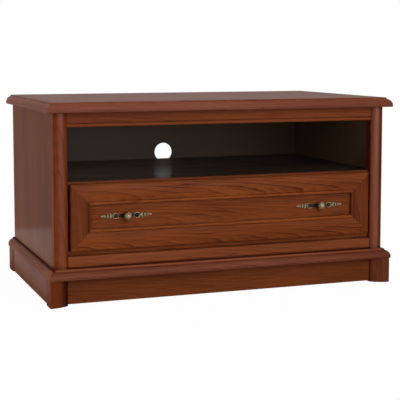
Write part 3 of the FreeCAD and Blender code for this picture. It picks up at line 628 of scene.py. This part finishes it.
# Which finish each CAD piece carries
brass = brassFinish()
zinc = zincFinish()
enamel = enamelFinish()
nylon = nylonFinish()
batten = plainWoodFinish("battenWood", rawPine, "yzx")
boxLong = plainWoodFinish("drawerSideBoard", drawerWood, "yzx")
boxWide = plainWoodFinish("drawerEndBoard", drawerWood, "xzy")
finishOf = {node: chestnutFinish(**board) for node, board in boards.items()}
finishOf["media_shelf"] = shelfFinish()
finishOf["back_panel"] = backBoardFinish()
finishOf["plinth_corner_blocks"] = plainWoodFinish("blockWood", rawPine, "zxy")
finishOf["wooden_dowels"] = plainWoodFinish("dowelWood", rawPine, "xyz")
finishOf["drawer_bottom"] = plainWoodFinish("drawerBottomSheet", drawerWood, "xyz")
for side, sign in sides:
    finishOf[side + "_runner_batten"] = batten
    finishOf[side + "_cabinet_runner"] = enamel
    finishOf[side + "_drawer_runner"] = enamel
    finishOf["drawer_%s_side" % side] = boxLong
    for end in ("front", "rear"):
        finishOf["%s_%s_roller" % (end, side)] = nylon
for node in ("drawer_inner_front", "drawer_back"):
    finishOf[node] = boxWide
for node in ("cam_bolts", "cam_discs", "drawer_box_screws", "handle_screws"):
    finishOf[node] = zinc
for node in ("cabinet_roller_pins", "drawer_roller_pins"):
    finishOf[node] = enamel
for node, finish in finishOf.items():
    for place in nodes[node].material_slots:
        place.material = finish
print("finishes on", len(finishOf), "CAD pieces")


# Helpers for new pieces
def newPiece(name, mesh, finish, body):
    mesh.materials.clear()
    mesh.materials.append(finish)
    piece = bpy.data.objects.new(name, mesh)
    scene.collection.objects.link(piece)
    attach(piece, body)
    return piece


def newTree(name, inputs):
    tree = bpy.data.node_groups.new(name, "GeometryNodeTree")
    tree.interface.new_socket("Geometry", in_out="INPUT", socket_type="NodeSocketGeometry")
    for label, kind in inputs.items():
        tree.interface.new_socket(label, in_out="INPUT", socket_type="NodeSocket" + kind)
    tree.interface.new_socket("Geometry", in_out="OUTPUT", socket_type="NodeSocketGeometry")
    start = tree.nodes.new("NodeGroupInput")
    return tree, {socket.name: Wire(socket) for socket in start.outputs if socket.name}


def endTree(tree, shape, finish):
    solid = shape.node("GeometryNodeRealizeInstances", {}, {"Geometry": shape})
    dressed = solid.node("GeometryNodeSetMaterial", {}, {"Geometry": solid, "Material": finish})
    end = tree.nodes.new("NodeGroupOutput")
    tree.links.new(dressed.socket, end.inputs[0])


def meshOf(holder):
    depsgraph = bpy.context.evaluated_depsgraph_get()
    return bpy.data.meshes.new_from_object(holder.evaluated_get(depsgraph))


def grow(tree, values, points=()):
    # runs a tree on loose points and gives back the plain mesh that it makes
    seed = bpy.data.meshes.new("seed")
    seed.from_pydata([tuple(point) for point in points], [], [])
    holder = bpy.data.objects.new("seed", seed)
    scene.collection.objects.link(holder)
    modifier = holder.modifiers.new("tree", "NODES")
    modifier.node_group = tree
    for item in tree.interface.items_tree:
        if item.in_out == "INPUT" and item.name in values:
            modifier[item.identifier] = values[item.name]
    made = meshOf(holder)
    holder.modifiers.clear()
    bpy.data.objects.remove(holder)
    bpy.data.meshes.remove(seed)
    return made


def joined(name, meshes, move=None):
    whole = bmesh.new()
    for mesh in meshes:
        whole.from_mesh(mesh)
    if move:
        bmesh.ops.transform(whole, matrix=move, verts=whole.verts)
    result = bpy.data.meshes.new(name)
    whole.to_mesh(result)
    whole.free()
    return result


def spread(first, last, count):
    return [first + (last - first) * step / (count - 1) for step in range(count)]


def middleOf(node):
    low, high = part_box(node)
    return (low + high) / 2


def limited(value):
    return min(max(value, 0), 1)


# Small fasteners: cross-head screws on the runners and behind the drawer front, nails in the back
screws = {
    "headRadius": 3.0 * mm,
    "headHeight": 1.2 * mm,
    "slotWidth": 0.8 * mm,
    "perRunner": 3,
    "runnerReach": 190 * mm,  # from the runner's middle to its outer screws
    "webGauge": 1.2 * mm,
    "webSunk": 0.8 * mm,  # how deep a head sits in the web
    "webDrop": 7.2 * mm,
    "flangeInset": 9.0 * mm,
    # behind the drawer front: distance from the middle, and height
    "frontPlaces": ((0.095, 0.1865), (0.286, 0.1865), (0.421, 0.22), (0.421, 0.26)),
}
nails = {
    "headRadius": 2.4 * mm,
    "headHeight": 0.7 * mm,
    "slotWidth": 0.0,
    "perSide": 6,
    "endMargin": 20 * mm,
    "perShelf": 4,
    "shelfReach": 347 * mm,  # from the board's middle to its outer nails
}


def fastenerTree(crossed):
    inputs = {"Radius": "Float", "Height": "Float", "Slot": "Float", "Facing": "Vector", "Finish": "Material"}
    tree, given = newTree("fastenerHeads", inputs)
    places = given["Geometry"]
    head = places.node("GeometryNodeMeshCone", {}, {
        "Vertices": 20, "Radius Top": given["Radius"] * 0.72, "Radius Bottom": given["Radius"],
        "Depth": given["Height"], "Side Segments": 2,
    })
    length = given["Radius"] * 1.1
    high = given["Height"] * 1.2
    bars = ((length, given["Slot"]), (given["Slot"], length)) if crossed else ()
    for x, y in bars:
        size = places.node("ShaderNodeCombineXYZ", {}, {0: x, 1: y, 2: high})
        bar = places.node("GeometryNodeMeshCube", {}, {"Size": size})
        lift = places.node("ShaderNodeCombineXYZ", {}, {2: given["Height"]})
        raised = bar.node("GeometryNodeTransform", {}, {"Geometry": bar, "Translation": lift})
        head = head.node("GeometryNodeMeshBoolean", {"operation": "DIFFERENCE"}, {0: head, 1: raised})
    scattered = places.node("GeometryNodeInstanceOnPoints", {}, {
        "Points": places, "Instance": head, "Rotation": given["Facing"],
    })
    endTree(tree, scattered, given["Finish"])
    return tree


def heads(tree, points, facing, kind):
    return grow(tree, {
        "Radius": kind["headRadius"], "Height": kind["headHeight"],
        "Slot": kind["slotWidth"], "Facing": facing, "Finish": zinc,
    }, points)


def runnerRow(node):
    middle = middleOf(node).y
    return spread(middle - screws["runnerReach"], middle + screws["runnerReach"], screws["perRunner"])


screwTree = fastenerTree(True)
nailTree = fastenerTree(False)
cabinetHeads = []
drawerHeads = []
for side, sign in sides:
    node = side + "_cabinet_runner"
    low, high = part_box(node)
    web = max(abs(low.x), abs(high.x)) - screws["webGauge"]
    x = sign * (web + screws["webSunk"])
    places = [(x, y, high.z - screws["webDrop"]) for y in runnerRow(node)]
    cabinetHeads.append(heads(screwTree, places, (0, -sign * quarter, 0), screws))
    node = side + "_drawer_runner"
    low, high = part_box(node)
    x = sign * (min(abs(low.x), abs(high.x)) + screws["flangeInset"])
    places = [(x, y, low.z) for y in runnerRow(node)]
    drawerHeads.append(heads(screwTree, places, (math.pi, 0, 0), screws))
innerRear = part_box("drawer_inner_front")[1].y
places = [(sign * x, innerRear, z) for side, sign in sides for x, z in screws["frontPlaces"]]
drawerHeads.append(heads(screwTree, places, (-quarter, 0, 0), screws))
newPiece("runner_screw_heads", joined("runnerScrews", cabinetHeads), zinc, "cabinet")
newPiece("drawer_screw_heads", joined("drawerScrews", drawerHeads), zinc, "drawer")

backLow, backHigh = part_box("back_panel")
nailRow = spread(backLow.z + nails["endMargin"], backHigh.z - nails["endMargin"], nails["perSide"])
places = [(middleOf(side + "_side_panel").x, backHigh.y, z) for side, sign in sides for z in nailRow]
for board in ("media_shelf", "bottom_board"):
    height = middleOf(board).z
    for x in spread(-nails["shelfReach"], nails["shelfReach"], nails["perShelf"]):
        places.append((x, backHigh.y, height))
nailMesh = heads(nailTree, places, (-quarter, 0, 0), nails)
newPiece("back_panel_nail_heads", nailMesh, zinc, "cabinet")
print("fastener heads made")

# Handles: a pierced plate of scrolls and leaves under a petalled knob, all sizes in millimetres
handle = {
    "beads": 18,
    "beadRadius": 0.8,
    "beadRing": 8.5,
    "beadLift": 2.3,
    "ringX": 31,
    "ringWide": 8.4,
    "ringTall": 7.4,
    "ringThick": 1.2,
    "ringPoints": 14,
    "tubeLift": 0.8,
    # leaves: count, first and last place, first and last length, angle, height off the axis
    "sprays": (
        (2, 11, 17, 5.0, 5.0, 42, 0.8),
        (2, 28, 33, 4.6, 4.6, 45, 0.0),
        (3, 42.0, 60, 9.6, 6.4, 44, 0.6),
        (1, 65, 65, 9.0, 9.0, 5, 0.2),
    ),
    "leafWide": 0.36,
    "leafThick": 0.34,
    # stem and scroll: distance from the middle, height off the axis, thickness
    "stem": ((38, 0, 0.9), (50, 0, 0.7), (62, 0, 0.6), (72, 0, 0.5)),
    "scroll": ((6, 3.0, 1.1), (12, 4.4, 1.1), (17, 3.8, 1.0), (21, 2.6, 1.0), (25, 3.6, 1.0)),
    # boss under the knob: radius and height
    "boss": ((9.5, 0.0), (9.5, 1.3), (9.0, 2.0), (8.0, 2.3), (7.4, 2.6), (1.0, 2.6)),
    "bossSegments": 40,
    # dark ground behind the leaves: distance from the middle and half height
    "ground": ((8, 4.0), (14, 3.9), (19, 3.4), (23, 3.8), (26, 6.0), (31, 7.0), (36, 6.0), (39, 4.6),
               (48, 4.2), (57, 3.4), (66, 1.9), (71, 0.8)),
    "groundThick": 0.7,
    "reliefShare": 0.9,
    "reliefLift": 0.6,
    # wear: where each effect starts and over what distance it grows
    "rubbed": (11, 30),
    "tip": (58, 8),
    "tipLift": 0.5,
    "crest": (0.9, 1.2),
    "patinaShare": 0.3,
}
knob = {
    "seat": 2.6,  # thickness of the plate below it
    # turned shape: radius and height
    "outline": ((7.0, 0.0), (7.0, 1.1), (6.2, 2.0), (4.9, 2.6), (4.3, 4.0), (4.2, 6.4), (4.9, 7.6),
                (5.4, 8.3), (5.4, 9.0), (6.4, 9.9), (8.6, 11.2), (10.4, 12.6), (11.3, 14.2), (11.4, 15.6),
                (11.0, 17.0), (10.0, 18.6), (8.5, 20.2), (6.6, 21.5), (4.6, 22.4), (3.4, 22.1),
                (2.4, 22.6), (1.2, 22.95)),
    "segments": 100,
    "petals": 8,
    "twist": 0.05,
    "carve": 1.3,
    # grooves: where they start and over what distance they deepen, up the knob and out from its eye
    "carveUp": (9.5, 3),
    "carveOut": (3.5, 3),
    "crestUp": (8, 8),
    "eyeRadius": 3.6,
}


def leafTree():
    inputs = {
        "Count": "Int", "Start": "Float", "End": "Float", "First": "Float", "Last": "Float",
        "Angle": "Float", "Off": "Float", "Wide": "Float", "Thick": "Float", "Finish": "Material",
    }
    tree, given = newTree("leafSpray", inputs)
    base = given["Geometry"]
    ball = base.node("GeometryNodeMeshUVSphere", {}, {"Segments": 12, "Rings": 9, "Radius": 0.5})
    letters = lettersOf(base.node("GeometryNodeInputPosition", {}, {}))
    ahead = letters["x"] + 0.5
    point = (1 - ahead * ahead * 0.75) * given["Wide"] * 2
    vein = 1 - abs(letters["z"] * 2) * 0.35
    # the ball becomes a pointed leaf with a raised vein that starts at its stalk
    shape = base.node("ShaderNodeCombineXYZ", {}, {
        0: ahead, 1: letters["y"] * given["Thick"] * vein * 2, 2: letters["z"] * point,
    })
    leaf = ball.node("GeometryNodeSetPosition", {}, {"Geometry": ball, "Position": shape})
    row = base.node("GeometryNodeMeshLine", {}, {"Count": given["Count"]})
    index = base.node("GeometryNodeInputIndex", {}, {})
    gaps = given["Count"] - 1
    share = index / gaps.math("MAXIMUM", gaps, 1.0)
    length = given["First"] + (given["Last"] - given["First"]) * share
    along = given["Start"] + (given["End"] - given["Start"]) * share
    whole = base.node("GeometryNodeJoinGeometry", {}, {})
    for way in (1, -1):
        for half, turn in ((1, 0.0), (-1, math.pi)):
            place = base.node("ShaderNodeCombineXYZ", {}, {0: along * half, 2: given["Off"] * way})
            line = row.node("GeometryNodeSetPosition", {}, {"Geometry": row, "Position": place})
            spin = base.node("ShaderNodeCombineXYZ", {}, {1: turn - given["Angle"] * (way * half)})
            spray = line.node("GeometryNodeInstanceOnPoints", {}, {
                "Points": line, "Instance": leaf, "Rotation": spin, "Scale": length,
            })
            tree.links.new(spray.socket, whole.socket.node.inputs[0])
    endTree(tree, whole, given["Finish"])
    return tree


def beadTree():
    inputs = {"Count": "Int", "Ring": "Float", "Bead": "Float", "Finish": "Material"}
    tree, given = newTree("beadRing", inputs)
    base = given["Geometry"]
    circle = base.node("GeometryNodeMeshCircle", {}, {"Vertices": given["Count"], "Radius": given["Ring"]})
    bead = base.node("GeometryNodeMeshIcoSphere", {}, {"Radius": given["Bead"], "Subdivisions": 2})
    ring = circle.node("GeometryNodeInstanceOnPoints", {}, {"Points": circle, "Instance": bead})
    facing = ring.node("GeometryNodeTransform", {}, {"Geometry": ring, "Rotation": (quarter, 0, 0)})
    endTree(tree, facing, given["Finish"])
    return tree


def tube(path, closed=False):
    # a scroll: points are x, z and thickness in the plane of the plate
    curve = bpy.data.curves.new("scroll", "CURVE")
    curve.dimensions = "3D"
    curve.bevel_depth = 1.0
    curve.bevel_resolution = 3
    curve.resolution_u = 6
    curve.use_fill_caps = True
    line = curve.splines.new("NURBS")
    line.points.add(len(path) - 1)
    for point, (x, z, thick) in zip(line.points, path):
        point.co = (x, -handle["tubeLift"], z, 1)
        point.radius = thick
    line.use_cyclic_u = closed
    line.use_endpoint_u = not closed
    line.order_u = 3
    holder = bpy.data.objects.new("scroll", curve)
    scene.collection.objects.link(holder)
    mesh = meshOf(holder)
    bpy.data.objects.remove(holder)
    return mesh


def turned(outline, segments, shape=None):
    # turns an outline of radius and height about the Y axis, rising towards -Y
    mesh = bpy.data.meshes.new("turned")
    made = bmesh.new()
    rings = []
    for radius, height in outline:
        ring = []
        for step in range(segments):
            angle = step * math.tau / segments
            r, h = shape(radius, height, angle) if shape else (radius, height)
            ring.append(made.verts.new((r * math.cos(angle), -h, r * math.sin(angle))))
        rings.append(ring)
    for low, high in zip(rings, rings[1:]):
        for step in range(segments):
            after = (step + 1) % segments
            made.faces.new((low[step], low[after], high[after], high[step]))
    made.faces.new(rings[0])
    made.faces.new(rings[-1])
    bmesh.ops.recalc_face_normals(made, faces=made.faces)
    made.to_mesh(mesh)
    made.free()
    return mesh


def groundPlate(half):
    # a thin flat plate between two mirrored edges
    edge = [(half * x, z) for x, z in handle["ground"]]
    edge += [(x, -z) for x, z in reversed(edge)]
    made = bmesh.new()
    face = made.faces.new([made.verts.new((x, 0, z)) for x, z in edge])
    raised = bmesh.ops.extrude_face_region(made, geom=[face])["geom"]
    points = [item for item in raised if isinstance(item, bmesh.types.BMVert)]
    bmesh.ops.translate(made, vec=(0, -handle["groundThick"], 0), verts=points)
    bmesh.ops.recalc_face_normals(made, faces=made.faces)
    mesh = bpy.data.meshes.new("ground")
    made.to_mesh(mesh)
    made.free()
    return mesh


def rise(value, stretch):
    # 0 up to the start of the stretch, 1 from its end
    start, distance = stretch
    return limited((value - start) / distance)


def petalWave(angle, height):
    return abs(math.cos(knob["petals"] / 2 * (angle + knob["twist"] * height)))


def petal(radius, height, angle):
    groove = (1 - petalWave(angle, height)) ** 3
    cut = groove * rise(height, knob["carveUp"]) * rise(radius, knob["carveOut"]) * knob["carve"]
    return radius - cut * 0.8, height - cut * 0.6


def knobCrest(spot):
    radius = math.hypot(spot.x, spot.z)
    height = -spot.y - knob["seat"]
    wave = petalWave(math.atan2(spot.z, spot.x), height)
    lift = rise(height, knob["crestUp"])
    return lift * (0.45 + 0.5 * wave ** 2) if radius > knob["eyeRadius"] else lift * 0.9


def plateCrest(spot):
    # the plate is darker round the knob, and the tips are rubbed bare
    rubbed = rise(abs(spot.x), handle["rubbed"])
    tip = rise(abs(spot.x), handle["tip"])
    lift = rise(-spot.y + tip * handle["tipLift"], handle["crest"])
    dark = handle["patinaShare"]
    return lift * (dark + (1 - dark) * rubbed)


def crested(mesh, level):
    # stores how far each point stands out, for the worn crests of the brass
    layer = mesh.attributes.new("crest", "FLOAT", "POINT")
    for point, value in zip(mesh.vertices, layer.data):
        value.value = level(point.co)
    mesh.shade_smooth()
    return mesh


def handleRing(half):
    points = []
    for step in range(handle["ringPoints"]):
        angle = step * math.tau / handle["ringPoints"]
        x = handle["ringX"] + handle["ringWide"] * math.cos(angle)
        points.append((half * x, handle["ringTall"] * math.sin(angle), handle["ringThick"]))
    return tube(points, True)


def filigree():
    parts = []
    spray = leafTree()
    for count, start, end, first, last, angle, off in handle["sprays"]:
        parts.append(grow(spray, {
            "Count": count, "Start": float(start), "End": float(end), "First": first, "Last": last,
            "Angle": math.radians(angle), "Off": off, "Wide": handle["leafWide"],
            "Thick": handle["leafThick"], "Finish": brass,
        }))
    beads = grow(beadTree(), {
        "Count": handle["beads"], "Ring": handle["beadRing"], "Bead": handle["beadRadius"], "Finish": brass,
    })
    for point in beads.vertices:
        point.co.y -= handle["beadLift"]
    parts.append(beads)
    for half in (-1, 1):
        parts.append(groundPlate(half))
        parts.append(handleRing(half))
        parts.append(tube([(half * x, z, thick) for x, z, thick in handle["stem"]]))
        for way in (-1, 1):
            parts.append(tube([(half * x, way * z, thick) for x, z, thick in handle["scroll"]]))
    parts.append(turned(handle["boss"], handle["bossSegments"]))
    whole = joined("filigree", parts)
    # everything behind the plate's back face is pressed flat on the drawer front
    for point in whole.vertices:
        point.co.y = min(point.co.y * handle["reliefShare"] - handle["reliefLift"], 0.0)
    return crested(whole, plateCrest)


plateMesh = filigree()
outline = [(radius, height + knob["seat"]) for radius, height in knob["outline"]]
knobMesh = crested(turned(outline, knob["segments"], petal), knobCrest)
for side, sign in sides:
    seat = middleOf(side + "_handle_plate")
    seat.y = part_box(side + "_handle_plate")[1].y
    move = Matrix.Translation(seat) @ Matrix.Scale(mm, 4)
    mesh = joined("filigree", [plateMesh], move)
    plate = newPiece(side + "_handle_filigree", mesh, brass, "drawer")
    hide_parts(side + "_handle_plate")
    mesh = joined("petalKnob", [knobMesh], move)
    grip = newPiece(side + "_petal_knob", mesh, brass, "drawer")
    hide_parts(side + "_handle_knob")
print("handles made")

# Studio: pale floor, five soft lamps, a white surround and a white card that only gloss can see
studio = {
    # name, place, size, power, whether gloss can see it
    "lamps": (
        ("keyLamp", (0.95, -6.5, 2.7), 4.6, 318.0, True),
        ("fillLamp", (-2.2, -4.2, 1.3), 2.4, 9.0, True),
        ("sideLamp", (-4.0, 0.6, 1.0), 2.0, 38.0, True),
        ("topLamp", (0.0, -0.6, 3.2), 2.2, 24.0, True),
        ("rearLamp", (1.2, 4.3, 1.3), 1.8, 46.0, False),
    ),
    "aim": (0, 0, 0.28),
    "floorSize": 60.0,
    "floorTone": 0.62,
    "nearGlow": 0.98,
    "glowFrom": 0.6,
    "glowTo": 2.2,
    "ambient": 0.16,
    "sheen": 0.12,
    "cardPlace": 5.0,
    "cardWide": 16.0,
    "cardTall": 5.0,
    "cardInner": 0.56,
    "cardNear": 0.4,
    "cardLift": 0.004,
}
white = (1, 1, 1, 1)


def stagePiece(name, points, faces, finish):
    mesh = bpy.data.meshes.new(name)
    mesh.from_pydata(points, [], faces)
    mesh.materials.append(finish)
    piece = bpy.data.objects.new(name, mesh)
    scene.collection.objects.link(piece)


def mixedSurface(finish, share, first):
    # plain white light laid over another surface
    tree = finish.node_tree
    glow = share.node("ShaderNodeEmission", {}, {"Color": white, "Strength": 1.0})
    surface = share.node("ShaderNodeMixShader", {}, {0: share, 1: first, 2: glow})
    tree.links.new(surface.socket, tree.nodes["Material Output"].inputs["Surface"])


def whiteShare(ray):
    # all white for the camera and through clear things, a little of it for gloss
    return (ray + ray.other(3) * studio["sheen"] + ray.other(6)).clamped()


for name, place, size, power, glossy in studio["lamps"]:
    light = bpy.data.lights.new(name, "AREA")
    light.size = size
    light.energy = power
    lamp = bpy.data.objects.new(name, light)
    lamp.location = place
    lamp.visible_glossy = glossy
    toward = Vector(studio["aim"]) - Vector(place)
    lamp.rotation_euler = toward.to_track_quat("-Z", "Y").to_euler()
    scene.collection.objects.link(lamp)

floorFinish, shader, where = newFinish("paleFloor", {"Roughness": 0.9, "Specular IOR Level": 0.1})
shader.inputs["Base Color"].default_value = (studio["floorTone"],) * 3 + (1.0,)
distance = where.node("ShaderNodeVectorMath", {"operation": "LENGTH"}, {0: where}, 1)
far = distance.between(studio["glowFrom"], studio["glowTo"])
ray = where.node("ShaderNodeLightPath", {}, {})
share = whiteShare(ray) * (studio["nearGlow"] + far * (1 - studio["nearGlow"]))
mixedSurface(floorFinish, share, Wire(shader.outputs[0]))
half = studio["floorSize"] / 2
corners = [(-half, -half, 0), (half, -half, 0), (half, half, 0), (-half, half, 0)]
stagePiece("floor", corners, [(0, 1, 2, 3)], floorFinish)

cardFinish = bpy.data.materials.new("whiteCard")
cardFinish.use_nodes = True
ray = Wire(cardFinish.node_tree.nodes.new("ShaderNodeLightPath").outputs[0])
clear = ray.node("ShaderNodeBsdfTransparent", {}, {})
mixedSurface(cardFinish, ray.other(3), clear)
wide = studio["cardWide"] / 2
tall = studio["cardTall"]
back = studio["cardPlace"]
inner = studio["cardInner"]
near = studio["cardNear"]
low = studio["cardLift"]
upright = [(-wide, back, low), (wide, back, low), (wide, back, tall), (-wide, back, tall)]
lying = [(-wide, -near, low), (-inner, -near, low), (-inner, near, low), (wide, near, low)]
stagePiece("card", upright + lying, [(0, 1, 2, 3), (4, 5, 6, 7, 1, 0)], cardFinish)

world = bpy.data.worlds.new("studioWorld")
world.use_nodes = True
scene.world = world
backdrop = world.node_tree.nodes["Background"]
ray = Wire(world.node_tree.nodes.new("ShaderNodeLightPath").outputs[0])
level = whiteShare(ray) * (1 - studio["ambient"]) + studio["ambient"]
backdrop.inputs["Color"].default_value = white
world.node_tree.links.new(level.socket, backdrop.inputs["Strength"])
print("studio lit")
